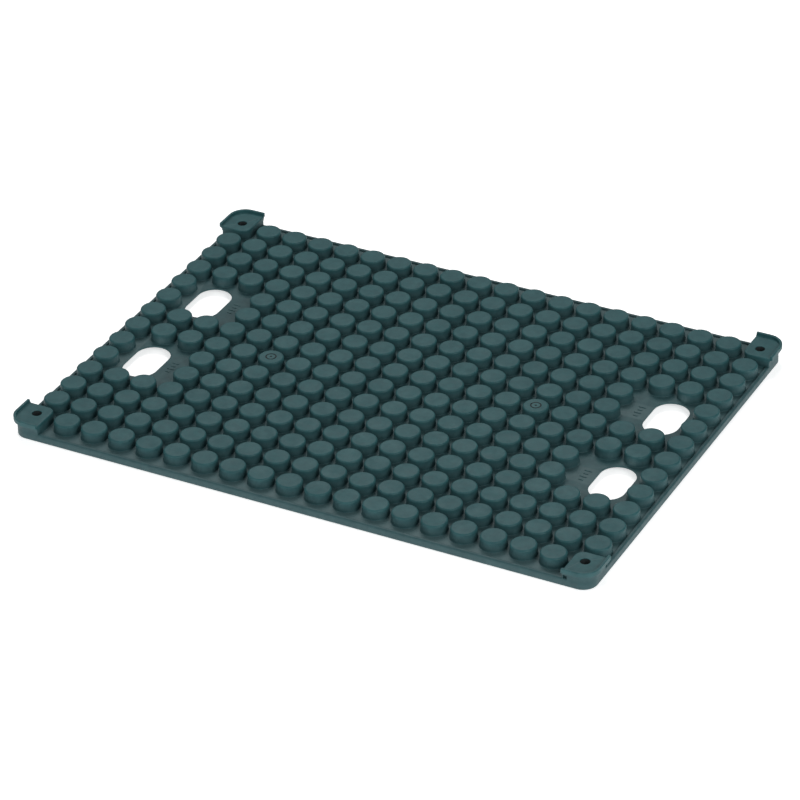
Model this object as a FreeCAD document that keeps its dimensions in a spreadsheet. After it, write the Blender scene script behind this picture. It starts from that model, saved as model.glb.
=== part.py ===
"""Rigid heat mat for seed trays: a studded plate with its heater sealed underneath.

Frame: X along the long side, Y along the short side, Z up.
The origin is on the bench, under the middle of the mat.
"""
import FreeCAD, Part
from Sketcher import Constraint
import math
import os

V = FreeCAD.Vector
UP = V(0, 0, 1)

DRIVING_SIZES = {
    # lattice of studs
    "columns": 20,
    "rows": 14,
    "pitch_x": 28.0,
    "pitch_y": 28.5,
    # plate outline and section
    "end_margin": 16.6,
    "side_margin": 21.8,
    "corner_radius": 13.5,
    "skirt_height": 7.2,
    "skirt_wall": 2.0,
    "skirt_round": 1.6,
    "rim_width": 3.6,
    "floor_thickness": 1.8,
    # studs
    "stud_height": 10.0,
    "stud_top_radius": 11.8,
    "stud_base_radius": 12.1,
    "stud_round": 1.8,
    "stud_wall": 1.8,
    "mark_radius": 5.0,
    "mark_groove": 0.9,
    "mark_depth": 0.5,
    # finger cut-outs
    "cutout_length": 33.0,
    "cutout_width": 57.0,
    "cutout_radius": 16.0,
    "cutout_shift": 8.8,
    "cutout_first_row": 4,
    "cutout_second_row": 8,
    # corner lugs
    "lug_reach_x": 10.3,
    "lug_reach_y": 11.4,
    "lug_inner_radius": 8.0,
    "lug_hole_radius": 4.35,
    "lug_hole_shift": 2.0,
    "lug_tube_wall": 1.6,
    "lip_clearance": 0.4,
    "lip_thickness": 2.6,
    "lip_height": 3.0,
    "lip_edge": 0.5,
    "cove_middle_out": 0.26,
    "cove_middle_down": 0.42,
    "lip_drop": 1.3,
    "flare_height": 3.4,
    "notch_width": 2.6,
    "notch_height": 3.8,
    "notch_depth": 1.1,
    "notch_inset": 0.8,
    "bar_length": 7.0,
    "bar_short_length": 4.5,
    "bar_width": 1.3,
    "bar_rise": 0.6,
    "bar_gap": 5.0,
    "bar_distance": 10.0,
    # bottom cover, seals and screws
    "cover_thickness": 1.2,
    "cavity_height": 2.6,
    "cover_clearance": 0.3,
    "window_set_back": 8.0,
    "seal_width": 3.0,
    "boss_radius": 3.5,
    "screw_radius": 1.4,
    "screw_length": 9.0,
    "screw_head_radius": 2.8,
    "screw_head_height": 1.0,
    "screw_recess_radius": 1.0,
    "screw_recess_depth": 0.2,
    "fit_clearance": 0.1,
    "hole_clearance": 0.6,
    # rubber feet
    "foot_radius": 7.0,
    "foot_thickness": 0.8,
    "foot_edge": 0.4,
    "foot_stem_radius": 2.0,
    "foot_head_radius": 2.8,
    "foot_head_height": 0.9,
    # heater
    "spreader_thickness": 0.3,
    "spreader_inset": 0.6,
    "cable_diameter": 1.8,
    "cable_groove": 2.4,
    "turn_inset": 4.0,
    "trunk_inset": 3.0,
    "trunk_gap": 7.0,
    "outer_run_shift": 10.0,
    "link_distance": 20.0,
    "trunk_corner": 24.0,
    "outer_run_end": 6.0,
    "sensor_branch": 20.0,
    "sensor_detour": 40.0,
    # heat sensors in the two marked studs
    "sensor_length": 15.0,
    "sensor_width": 7.0,
    "sensor_thickness": 3.6,
    "sensor_edge": 0.5,
    "plug_draft": 0.5,
    "crimp_length": 5.0,
    "crimp_radius": 0.95,
    # supply side in the rear left lug
    "splice_radius": 1.6,
    "splice_length": 14.0,
    "inlet_height": 7.6,
    "inlet_shift": 3.0,
    "inlet_hole_radius": 2.9,
    "inlet_bore_radius": 2.1,
    "inlet_flange_radius": 3.7,
    "inlet_flange": 1.4,
    "inlet_barrel": 5.0,
    "inlet_edge": 0.5,
}

DERIVED_SIZES = {
    "length": "(columns - 1) * pitch_x + 2 * end_margin",
    "width": "(rows - 1) * pitch_y + 2 * side_margin",
    "skirt_bottom": "foot_thickness",
    "rim_top": "skirt_bottom + skirt_height",
    "cover_top": "skirt_bottom + cover_thickness",
    "floor_underside": "cover_top + cavity_height",
    "floor_top": "floor_underside + floor_thickness",
    "rim_rise": "rim_top - floor_top",
    "stud_top": "floor_top + stud_height",
    "cavity_length": "length - 2 * skirt_wall",
    "cavity_width": "width - 2 * skirt_wall",
    "cavity_radius": "corner_radius - skirt_wall",
    "spreader_underside": "floor_underside - spreader_thickness",
    "insulation_thickness": "spreader_underside - fit_clearance - cover_top",
    "cable_centre": "spreader_underside - fit_clearance - cable_diameter / 2",
    "window_length": "cutout_length + 2 * window_set_back",
    "window_width": "cutout_width + 2 * window_set_back",
    "window_radius": "cutout_radius + window_set_back",
    "window_first_y": "(cutout_first_row - (rows - 2) / 2) * pitch_y",
    "window_second_y": "(cutout_second_row - (rows - 2) / 2) * pitch_y",
    "window_x": "((columns - 1) / 2 - 1.5) * pitch_x + cutout_shift",
}

LUG_SIDES = [(-1, -1), (1, -1), (1, 1), (-1, 1)]
NOTCHED_LUGS = [(1, -1), (-1, 1)]
MARKED_STUDS = [(5, 6), (14, 7)]
SCREW_STUDS = [(column, row) for row in (1, 12) for column in (0, 6, 13, 19)]
SCREW_STUDS += [(column, row) for column in (3, 16) for row in (5, 8)]
FOOT_PLACES = [(2, 1), (10, 1), (17, 1), (2, 12), (9, 12), (17, 12)]
BARS_PER_CUTOUT = 4
BOX_EDGES = 12
TOUCH = 0.01
MOST_OF_HALF = 0.49
CABLE_GAPS = [column for column in range(2, 17) if column != 9]

doc = FreeCAD.newDocument("heat_mat")
sheet = doc.addObject("Spreadsheet::Sheet", "sizes")
nodes = []


def fill_sheet():
    """Write the driving sizes as numbers and the derived ones as formulas."""
    row = 1
    for name, value in DRIVING_SIZES.items():
        sheet.set("A%d" % row, name)
        sheet.set("B%d" % row, str(value))
        sheet.setAlias("B%d" % row, name)
        row += 1
    for name, formula in DERIVED_SIZES.items():
        sheet.set("A%d" % row, name)
        sheet.set("B%d" % row, "=" + formula)
        sheet.setAlias("B%d" % row, name)
        row += 1
    doc.recompute()


def size(name):
    """Read one size from the sheet."""
    return float(sheet.get(name))


def in_sheet(expression):
    """Turn size names in an expression into references to the sheet."""
    words = []
    word = ""
    for letter in expression + " ":
        if letter.isalnum() or letter == "_":
            word += letter
            continue
        known = word in DRIVING_SIZES or word in DERIVED_SIZES
        words.append("sizes." + word if known else word)
        words.append(letter)
        word = ""
    return "".join(words).strip()


def bind(target, prop, expression):
    """Drive a property of an object by an expression in size names."""
    target.setExpression(prop, in_sheet(expression))


def value_of(expression):
    """Work out an expression in size names."""
    result = sheet.evalExpression(in_sheet(expression))
    return float(getattr(result, "Value", result))


def column_x(column):
    """X of a lattice column; halves lie between two columns."""
    return (column - (size("columns") - 1) / 2) * size("pitch_x")


def row_y(row):
    """Y of a lattice row; halves lie between two rows."""
    return (row - (size("rows") - 1) / 2) * size("pitch_y")


def lattice(column, row, height=0.0):
    """The lattice point as a vector."""
    return V(column_x(column), row_y(row), height)


# ---------------------------------------------------------------- sketches and bodies

def new_body(label):
    """A PartDesign body with its own label."""
    body = doc.addObject("PartDesign::Body", label)
    body.Label = label
    body.AllowCompound = True
    return body


def sketch_on(body, name, height):
    """A sketch parallel to the body's XY plane at a height given by an expression."""
    sketch = body.newObject("Sketcher::SketchObject", name)
    plane = [item for item in body.Origin.OriginFeatures if item.Role == "XY_Plane"][0]
    sketch.AttachmentSupport = [(plane, "")]
    sketch.MapMode = "FlatFace"
    bind(sketch, "AttachmentOffset.Base.z", height)
    return sketch


def add_constraint(sketch, name, expression, *items):
    """A named dimension of a sketch, driven by an expression."""
    kind, references = items[0], items[1:]
    index = sketch.addConstraint(Constraint(kind, *references, value_of(expression)))
    sketch.renameConstraint(index, name)
    bind(sketch, "Constraints." + name, expression)


def rounded_rectangle(sketch, name, length, width, radius, centre_x="0", centre_y="0"):
    """Add a closed rounded rectangle; every size and place is an expression."""
    edges = {
        "left": "%s - (%s) / 2" % (centre_x, length),
        "right": "%s + (%s) / 2" % (centre_x, length),
        "front": "%s - (%s) / 2" % (centre_y, width),
        "back": "%s + (%s) / 2" % (centre_y, width),
    }
    x0, x1, y0, y1 = [value_of(edges[side]) for side in ("left", "right", "front", "back")]
    r = value_of(radius)
    corners = [(x1 - r, y0 + r, -90), (x1 - r, y1 - r, 0), (x0 + r, y1 - r, 90), (x0 + r, y0 + r, 180)]
    sides = [((x0 + r, y0), (x1 - r, y0)), ((x1, y0 + r), (x1, y1 - r)),
             ((x1 - r, y1), (x0 + r, y1)), ((x0, y1 - r), (x0, y0 + r))]
    first = sketch.GeometryCount
    for (start, end), (cx, cy, angle) in zip(sides, corners):
        sketch.addGeometry(Part.LineSegment(V(*start, 0), V(*end, 0)), False)
        circle = Part.Circle(V(cx, cy, 0), UP, r)
        arc = Part.ArcOfCircle(circle, math.radians(angle), math.radians(angle + 90))
        sketch.addGeometry(arc, False)
    for step in range(4):
        line, arc = first + 2 * step, first + 2 * step + 1
        following = first + (2 * step + 2) % 8
        sketch.addConstraint(Constraint("Tangent", line, 2, arc, 1))
        sketch.addConstraint(Constraint("Tangent", arc, 2, following, 1))
        if step:
            sketch.addConstraint(Constraint("Equal", first + 1, arc))
    sketch.addConstraint(Constraint("Horizontal", first))
    sketch.addConstraint(Constraint("Vertical", first + 2))
    add_constraint(sketch, name + "_radius", radius, "Radius", first + 1)
    add_constraint(sketch, name + "_front", edges["front"], "DistanceY", -1, 1, first, 1)
    add_constraint(sketch, name + "_right", edges["right"], "DistanceX", -1, 1, first + 2, 1)
    add_constraint(sketch, name + "_back", edges["back"], "DistanceY", -1, 1, first + 4, 1)
    add_constraint(sketch, name + "_left", edges["left"], "DistanceX", -1, 1, first + 6, 1)


def lattice_expression(column, row):
    """X and Y of a lattice point as expressions."""
    return ("(%s - (columns - 1) / 2) * pitch_x" % column, "(%s - (rows - 1) / 2) * pitch_y" % row)


def round_hole(sketch, name, centre_x, centre_y, radius):
    """Add a circle; its centre and radius are expressions."""
    circle = Part.Circle(V(value_of(centre_x), value_of(centre_y), 0), UP, value_of(radius))
    index = sketch.addGeometry(circle, False)
    add_constraint(sketch, name + "_x", centre_x, "DistanceX", -1, 1, index, 3)
    add_constraint(sketch, name + "_y", centre_y, "DistanceY", -1, 1, index, 3)
    add_constraint(sketch, name + "_radius", radius, "Radius", index)


def pad(body, name, sketch, thickness):
    """Pad a sketch upwards."""
    feature = body.newObject("PartDesign::Pad", name)
    feature.Profile = sketch
    bind(feature, "Length", thickness)
    body.Tip = feature
    doc.recompute()
    return feature


def pocket(body, name, sketch, depth, upwards):
    """Pocket a sketch up or down and make sure that it cuts."""
    before = body.Shape.Volume
    feature = body.newObject("PartDesign::Pocket", name)
    feature.Profile = sketch
    feature.Reversed = upwards
    bind(feature, "Length", depth)
    body.Tip = feature
    doc.recompute()
    if not feature.Shape.Volume < before:
        raise RuntimeError(name + " cuts nothing")
    return feature


def windows():
    """Centre of each finger cut-out: a name and two expressions."""
    places = []
    for end, sign in (("left", "-1"), ("right", "1")):
        for row in ("first", "second"):
            places.append((end + "_" + row, "%s * window_x" % sign, "window_%s_y" % row))
    return places


def lug_hole_centres():
    """Centre of each corner hole: a name and two expressions."""
    places = []
    for sx, sy in LUG_SIDES:
        x = "%d * ((columns - 1) / 2 * pitch_x + lug_hole_shift)" % sx
        y = "%d * ((rows - 1) / 2 * pitch_y + lug_hole_shift)" % sy
        places.append(("lug_%s%s" % ("m" if sx < 0 else "p", "m" if sy < 0 else "p"), x, y))
    return places


def keep(label, shape):
    """A plain feature with a shape made by Part's functions."""
    feature = doc.addObject("Part::Feature", label)
    feature.Label = label
    feature.Shape = shape
    return feature


def copies(shape, places):
    """Copies of one shape moved to several places."""
    made = []
    for place in places:
        copy = shape.copy()
        copy.translate(place)
        made.append(copy)
    return made


def turned(profile_points, centre=V(0, 0, 0)):
    """A solid turned about Z from a list of (radius, height) points."""
    points = [V(radius, 0, height) for radius, height in profile_points]
    face = Part.Face(Part.makePolygon(points + points[:1]))
    solid = face.revolve(V(0, 0, 0), UP, 360)
    solid.translate(centre)
    return solid


# ---------------------------------------------------------------- studded top plate

def stud_places():
    """Lattice places that carry a stud: not the corners and not the cut-out blocks."""
    last_column, last_row = int(size("columns")) - 1, int(size("rows")) - 1
    blocked = set()
    for row in (int(size("cutout_first_row")), int(size("cutout_second_row"))):
        for column in (1, 2, last_column - 2, last_column - 1):
            blocked.update([(column, row), (column, row + 1)])
    blocked.update([(c, r) for c in (0, last_column) for r in (0, last_row)])
    places = [(c, r) for c in range(last_column + 1) for r in range(last_row + 1)]
    return [place for place in places if place not in blocked]


def stud_shape():
    """One solid stud with a rounded top edge, standing through the floor."""
    base = size("floor_top") - size("floor_thickness") / 2
    height = size("stud_top") - base
    cone = Part.makeCone(size("stud_base_radius"), size("stud_top_radius"), height, V(0, 0, base))
    top_edge = [edge for edge in cone.Edges if edge.BoundBox.ZMin > size("stud_top") - TOUCH]
    return cone.makeFillet(size("stud_round"), top_edge)


def stud_hollow():
    """The space inside a stud, open to the cavity below."""
    bottom = size("floor_underside") - 1.0
    top = size("stud_top") - size("stud_wall")
    return Part.makeCylinder(size("stud_top_radius") - size("stud_wall"), top - bottom, V(0, 0, bottom))


def screw_boss():
    """A screw boss from a stud's ceiling down to the bottom cover, with its pilot hole."""
    ceiling = size("stud_top") - size("stud_wall") / 2
    pilot = size("screw_radius") + size("fit_clearance") / 2
    depth = size("screw_length") + size("skirt_bottom") + size("hole_clearance")
    return turned([(pilot, size("cover_top")), (size("boss_radius"), size("cover_top")),
                   (size("boss_radius"), ceiling), (0, ceiling), (0, depth), (pilot, depth)])


def mark_groove():
    """Round groove and centre dot of a moulding mark on a stud's top."""
    outer = size("mark_radius")
    inner = outer - size("mark_groove")
    bottom = size("stud_top") - size("mark_depth")
    top = size("stud_top") + 1.0
    ring = turned([(inner, bottom), (outer, bottom), (outer, top), (inner, top)])
    dot = Part.makeCylinder(size("mark_groove"), top - bottom, V(0, 0, bottom))
    return [ring, dot]


def outline_prism(grow, bottom, top):
    """The plate's outline grown by a distance, as a prism."""
    length, width = size("length") + 2 * grow, size("width") + 2 * grow
    box = Part.makeBox(length, width, top - bottom, V(-length / 2, -width / 2, bottom))
    upright = [edge for edge in box.Edges if edge.BoundBox.ZLength > (top - bottom) / 2
               and edge.BoundBox.XLength < TOUCH and edge.BoundBox.YLength < TOUCH]
    return box.makeFillet(size("corner_radius") + grow, upright)


def lug_footprint(shrink, bottom, top):
    """Prism of the front left lug's inner boundary, running out past the plate."""
    x0, y0 = column_x(0) - size("pitch_x"), row_y(0) - size("pitch_y")
    x1 = column_x(0) + size("lug_reach_x") - shrink
    y1 = row_y(0) + size("lug_reach_y") - shrink
    box = Part.makeBox(x1 - x0, y1 - y0, top - bottom, V(x0, y0, bottom))
    corner = [edge for edge in box.Edges if abs(edge.BoundBox.XMin - x1) < TOUCH
              and abs(edge.BoundBox.XMax - x1) < TOUCH
              and abs(edge.BoundBox.YMin - y1) < TOUCH and abs(edge.BoundBox.YMax - y1) < TOUCH]
    return box.makeFillet(size("lug_inner_radius") - shrink, corner)


def at_corner(shape, sides):
    """Mirror a shape made for the front left corner to another corner."""
    if sides[0] > 0:
        shape = shape.mirror(V(0, 0, 0), V(1, 0, 0))
    if sides[1] > 0:
        shape = shape.mirror(V(0, 0, 0), V(0, 1, 0))
    return shape


def lip_profile(grow_in, x_wall):
    """Section of lip and flare, in the XZ plane, outwards to -X from the wall at x_wall."""
    top = size("stud_top")
    outer = size("lip_clearance") + size("lip_thickness")
    low = top - size("lip_drop")
    foot = low - size("flare_height")
    crest = top + size("lip_height")
    edge = size("lip_edge")

    def at(out, height):
        return V(x_wall - out, 0, height)

    middle = at(outer * size("cove_middle_out"),
                low - size("flare_height") * size("cove_middle_down"))
    cove = Part.Arc(at(outer, low), middle, at(0.0, foot)).toShape()
    lines = [
        (at(0.0, foot), at(-grow_in, foot)),
        (at(-grow_in, foot), at(-grow_in, top)),
        (at(-grow_in, top), at(size("lip_clearance"), top)),
        (at(size("lip_clearance"), top), at(size("lip_clearance"), crest - edge)),
        (at(size("lip_clearance"), crest - edge), at(size("lip_clearance") + edge, crest)),
        (at(size("lip_clearance") + edge, crest), at(outer - edge, crest)),
        (at(outer - edge, crest), at(outer, crest - edge)),
        (at(outer, crest - edge), at(outer, low)),
    ]
    edges = [cove] + [Part.LineSegment(start, end).toShape() for start, end in lines]
    return Part.Face(Part.Wire(Part.__sortEdges__(edges)))


def lip_shape():
    """Lip and flare round the outer sides of the front left lug."""
    radius = size("corner_radius")
    x_wall, y_wall = -size("length") / 2, -size("width") / 2
    corner = V(x_wall + radius, y_wall + radius, 0)
    section = lip_profile(size("skirt_wall") / 2, x_wall)
    section.translate(V(0, corner.y, 0))
    x_end = column_x(0) + size("lug_reach_x")
    y_end = row_y(0) + size("lug_reach_y")
    left = section.extrude(V(0, y_end - corner.y, 0))
    bend = section.revolve(corner, UP, 90)
    turned_section = section.copy()
    turned_section.rotate(corner, UP, 90)
    front = turned_section.extrude(V(x_end - corner.x, 0, 0))
    return left.multiFuse([bend, front])


def lug_block():
    """Solid block of the front left lug, from the floor up to the stud tops."""
    bottom, top = size("floor_underside"), size("stud_top")
    return outline_prism(0.0, bottom, top).common(lug_footprint(0.0, bottom, top))


def lug_hollow():
    """Space under the lug, open to the cavity below."""
    wall = size("skirt_wall")
    bottom, top = size("floor_underside") - 1.0, size("stud_top") - size("stud_wall")
    return outline_prism(-wall, bottom, top).common(lug_footprint(size("stud_wall"), bottom, top))


def lug_tube():
    """Wall of the stacking hole, from the plateau down to the bottom cover."""
    radius = size("lug_hole_radius")
    centre = V(column_x(0) - size("lug_hole_shift"), row_y(0) - size("lug_hole_shift"), 0)
    outer = radius + size("lug_tube_wall")
    bottom, top = size("skirt_bottom"), size("stud_top")
    solid = Part.makeCylinder(outer, top - bottom, centre + UP * bottom)
    bore = Part.makeCylinder(radius, top - bottom + 2, centre + UP * (bottom - 1))
    return solid, bore


def lug_notches():
    """Two shallow notches in a lug's outer walls, close to the lip's ends."""
    high = size("stud_top") - size("lip_drop") - size("flare_height")
    low = high - size("notch_height")
    depth, width = size("notch_depth"), size("notch_width")
    x_wall, y_wall = -size("length") / 2, -size("width") / 2
    x_end = column_x(0) + size("lug_reach_x") - size("notch_inset")
    y_end = row_y(0) + size("lug_reach_y") - size("notch_inset")
    front = Part.makeBox(width, depth + 1, high - low, V(x_end - width, y_wall - 1, low))
    side = Part.makeBox(depth + 1, width, high - low, V(x_wall - 1, y_end - width, low))
    return [front, side]


def raised_marks():
    """Plain raised bars on the floor on the inner side of each cut-out."""
    made = []
    width, low = size("bar_width"), size("floor_top") - size("floor_thickness") / 2
    height = size("floor_top") + size("bar_rise") - low
    distance = size("cutout_length") / 2 + size("bar_distance")
    for side in (-1, 1):
        x = side * (size("window_x") - distance)
        for middle in (size("window_first_y"), size("window_second_y")):
            for step in range(BARS_PER_CUTOUT):
                length = size("bar_length") if step % 2 else size("bar_short_length")
                y = middle + (step - (BARS_PER_CUTOUT - 1) / 2) * size("bar_gap")
                made.append(Part.makeBox(length, width, height, V(x - length / 2, y - width / 2, low)))
    return made


def make_tray():
    """Floor, rim and skirt of the plate with its four finger cut-outs."""
    body = new_body("plate_tray")
    outline = sketch_on(body, "plate_outline", "skirt_bottom")
    rounded_rectangle(outline, "plate", "length", "width", "corner_radius")
    pad(body, "plate_block", outline, "skirt_height")
    block = body.Tip
    top_edges = []
    for number, edge in enumerate(block.Shape.Edges, 1):
        if edge.BoundBox.ZMin > size("rim_top") - TOUCH:
            top_edges.append("Edge%d" % number)
    rounding = body.newObject("PartDesign::Fillet", "plate_rounding")
    rounding.Base = (block, top_edges)
    bind(rounding, "Radius", "skirt_round")
    body.Tip = rounding
    doc.recompute()
    inner = sketch_on(body, "rim_outline", "rim_top")
    rounded_rectangle(inner, "rim", "length - 2 * rim_width", "width - 2 * rim_width",
                      "corner_radius - rim_width")
    pocket(body, "rim_recess", inner, "rim_rise", False)
    under = sketch_on(body, "cavity_outline", "skirt_bottom")
    rounded_rectangle(under, "cavity", "cavity_length", "cavity_width", "cavity_radius")
    pocket(body, "cavity", under, "floor_underside - skirt_bottom", True)
    holes = sketch_on(body, "cutout_outline", "floor_underside")
    for name, x, y in windows():
        rounded_rectangle(holes, name, "cutout_length", "cutout_width", "cutout_radius", x, y)
    pocket(body, "finger_cutouts", holes, "floor_thickness", True)
    return body


def make_top_plate():
    """The studded plate: tray, studs, lugs, lips, bosses and marks as one moulding."""
    tray = make_tray()
    places = stud_places()
    studs = keep("stud_field", Part.makeCompound(copies(stud_shape(), [lattice(*p) for p in places])))
    lugs, cuts = [], []
    tube, bore = lug_tube()
    for sides in LUG_SIDES:
        lugs += [at_corner(lug_block(), sides), at_corner(lip_shape(), sides)]
        cuts.append(at_corner(lug_hollow(), sides))
        if sides in NOTCHED_LUGS:
            cuts += [at_corner(notch, sides) for notch in lug_notches()]
    cuts += copies(stud_hollow(), [lattice(*place) for place in places])
    for mark in mark_groove():
        cuts += copies(mark, [lattice(*place) for place in MARKED_STUDS])
    solid = doc.addObject("Part::MultiFuse", "plate_solid")
    lug_feature = keep("lug_field", lugs[0].multiFuse(lugs[1:]))
    mark_feature = keep("mark_field", Part.makeCompound(raised_marks()))
    solid.Shapes = [tray, studs, lug_feature, mark_feature]
    hollow = doc.addObject("Part::Cut", "plate_hollow")
    hollow.Base = solid
    hollow.Tool = keep("hollow_field", Part.makeCompound(cuts))
    tubes = [at_corner(tube, sides) for sides in LUG_SIDES]
    bosses = copies(screw_boss(), [lattice(*place) for place in SCREW_STUDS])
    inner = doc.addObject("Part::MultiFuse", "plate_with_bosses")
    inner.Shapes = [hollow, keep("boss_field", Part.makeCompound(tubes + bosses))]
    bores = [at_corner(bore, sides) for sides in LUG_SIDES] + [inlet_hole()]
    plate = doc.addObject("Part::Cut", "studded_top_plate")
    plate.Base = inner
    plate.Tool = keep("bore_field", Part.makeCompound(bores))
    plate.Label = "studded_top_plate"
    nodes.append(plate)


# ---------------------------------------------------------------- bottom cover and seals

def make_bottom_cover():
    """Flat cover inside the skirt, with windows round the cut-outs and all its holes."""
    body = new_body("cover_sheet")
    outline = sketch_on(body, "cover_outline", "skirt_bottom")
    rounded_rectangle(outline, "cover", "cavity_length - 2 * cover_clearance",
                      "cavity_width - 2 * cover_clearance", "cavity_radius - cover_clearance")
    for name, x, y in windows():
        rounded_rectangle(outline, name, "window_length", "window_width", "window_radius", x, y)
    for name, x, y in lug_hole_centres():
        round_hole(outline, name, x, y, "lug_hole_radius + lug_tube_wall + cover_clearance")
    for number, place in enumerate(SCREW_STUDS):
        x, y = lattice_expression(*place)
        round_hole(outline, "screw_%d" % number, x, y, "screw_radius + hole_clearance / 2")
    for number, place in enumerate(FOOT_PLACES):
        x, y = lattice_expression(*place)
        round_hole(outline, "foot_%d" % number, x, y, "foot_stem_radius + fit_clearance")
    pad(body, "cover_pad", outline, "cover_thickness")
    gap = size("fit_clearance")
    seat = Part.makeCone(size("screw_head_radius") + gap, size("screw_radius") + gap,
                         size("screw_head_height") + gap, V(0, 0, size("skirt_bottom")))
    seats = keep("screw_seats", Part.makeCompound(copies(seat, [lattice(*p) for p in SCREW_STUDS])))
    cover = doc.addObject("Part::Cut", "bottom_cover")
    cover.Base = body
    cover.Tool = seats
    cover.Label = "bottom_cover"
    nodes.append(cover)


def make_perimeter_seal():
    """Foam seal that fills the gap between cover and floor along the skirt."""
    body = new_body("perimeter_seal")
    outline = sketch_on(body, "seal_outline", "cover_top")
    rounded_rectangle(outline, "outer", "cavity_length", "cavity_width", "cavity_radius")
    rounded_rectangle(outline, "inner", "cavity_length - 2 * seal_width",
                      "cavity_width - 2 * seal_width", "cavity_radius - seal_width")
    pad(body, "seal_pad", outline, "floor_underside - cover_top")
    nodes.append(body)


def make_window_seals():
    """One foam ring round each finger cut-out."""
    body = new_body("window_seals")
    outline = sketch_on(body, "ring_outline", "cover_top")
    for name, x, y in windows():
        rounded_rectangle(outline, name + "_in", "window_length", "window_width", "window_radius", x, y)
        rounded_rectangle(outline, name + "_out", "window_length + 2 * seal_width",
                          "window_width + 2 * seal_width", "window_radius + seal_width", x, y)
    pad(body, "ring_pad", outline, "floor_underside - cover_top")
    nodes.append(body)


def make_cover_screws():
    """Countersunk screws through the cover into the bosses, one node for all."""
    bottom = size("skirt_bottom")
    head, shank, recess = size("screw_head_radius"), size("screw_radius"), size("screw_recess_depth")
    neck = bottom + size("screw_head_height")
    tip = bottom + size("screw_length")
    screw = turned([(0, bottom + recess), (size("screw_recess_radius"), bottom), (head, bottom),
                    (shank, neck), (shank, tip - shank), (0, tip)])
    shape = Part.makeCompound(copies(screw, [lattice(*place) for place in SCREW_STUDS]))
    nodes.append(keep("cover_screws", shape))


def make_rubber_feet():
    """Push-in feet: pad below the cover, stem in its hole and a head that holds it."""
    stem, head = size("foot_stem_radius"), size("foot_head_radius")
    under, top = size("foot_thickness"), size("cover_top")
    crest = top + size("foot_head_height")
    outer = size("foot_radius")
    foot = turned([(0, 0), (outer - size("foot_edge"), 0), (outer, under), (stem, under),
                   (stem, top), (head, top), (stem, crest), (0, crest)])
    shape = Part.makeCompound(copies(foot, [lattice(*place) for place in FOOT_PLACES]))
    nodes.append(keep("rubber_feet", shape))


# ---------------------------------------------------------------- heater

def heater_layer(label, height, inset, boss_gap):
    """Sheet that fills the cavity between the seals, with holes for all that passes through."""
    body = new_body(label)
    outline = sketch_on(body, label + "_outline", height)
    edge = "(seal_width + %s)" % inset
    rounded_rectangle(outline, "sheet", "cavity_length - 2 * %s" % edge, "cavity_width - 2 * %s" % edge,
                      "cavity_radius - %s" % edge)
    for name, x, y in windows():
        rounded_rectangle(outline, name, "window_length + 2 * %s" % edge, "window_width + 2 * %s" % edge,
                          "window_radius + %s" % edge, x, y)
    for number, place in enumerate(SCREW_STUDS):
        x, y = lattice_expression(*place)
        round_hole(outline, "boss_%d" % number, x, y, "boss_radius + %s" % boss_gap)
    return body, outline


def corner_clearances(bottom, top):
    """Prisms that clear the four corner lugs from a heater layer."""
    clear = size("hole_clearance")
    return [at_corner(lug_footprint(-clear, bottom, top), sides) for sides in LUG_SIDES]


def make_heat_spreader():
    """Aluminium sheet under the floor, between the cable and the plate."""
    body, outline = heater_layer("spreader_sheet", "spreader_underside", "spreader_inset", "hole_clearance")
    for number, place in enumerate(MARKED_STUDS):
        x, y = lattice_expression(*place)
        round_hole(outline, "sensor_%d" % number, x, y, "stud_top_radius - stud_wall")
    pad(body, "spreader_pad", outline, "spreader_thickness")
    bottom = size("spreader_underside") - 1.0
    corners = keep("spreader_corners", Part.makeCompound(corner_clearances(bottom, bottom + 3.0)))
    spreader = doc.addObject("Part::Cut", "heat_spreader_sheet")
    spreader.Base = body
    spreader.Tool = corners
    spreader.Label = "heat_spreader_sheet"
    nodes.append(spreader)


def cable_breaks():
    """Lengths of cable laid past the sensors: two routes per marked stud meet its sensor."""
    return {column: place for column, place in zip((13, 4), reversed(MARKED_STUDS))}


def cable_routes():
    """The cable's three stretches as lists of points, from splice to splice."""
    z = size("cable_centre")
    front = -size("width") / 2 + size("skirt_wall") + size("seal_width") + size("turn_inset")
    trunk = size("width") / 2 - size("skirt_wall") - size("seal_width") - size("trunk_inset")
    back = trunk - size("trunk_gap")
    outer_left = column_x(0) - size("outer_run_shift")
    link = row_y(0) + size("link_distance")
    near, far = size("sensor_branch"), size("sensor_detour")
    trunk_start = column_x(0) + size("lug_reach_x") - size("stud_wall") - 3 * size("fit_clearance")
    trunk_end = -outer_left - size("trunk_corner")
    routes = [[V(trunk_start, trunk, z), V(trunk_end, trunk, z), V(-outer_left, row_y(12), z),
               V(-outer_left, link, z)]]
    sensors = cable_breaks()
    upwards = True
    for column in reversed(CABLE_GAPS):
        x = column_x(column + 0.5)
        start, end = (front, back) if upwards else (back, front)
        if column == CABLE_GAPS[-1]:
            start = link
        if column == CABLE_GAPS[0]:
            end = link
        routes[-1].append(V(x, start, z))
        if column in sensors:
            place = lattice(*sensors[column], z)
            step = 1 if upwards else -1
            half = size("sensor_length") / 2 + size("crimp_length")
            routes[-1] += [V(x, place.y - step * far, z), V(place.x, place.y - step * near, z),
                           V(place.x, place.y - step * half, z)]
            routes.append([V(place.x, place.y + step * half, z), V(place.x, place.y + step * near, z),
                           V(x, place.y + step * far, z)])
        routes[-1].append(V(x, end, z))
        upwards = not upwards
    routes[-1] += [V(outer_left, link, z), V(outer_left, -row_y(0) - size("outer_run_end"), z)]
    return routes


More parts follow.
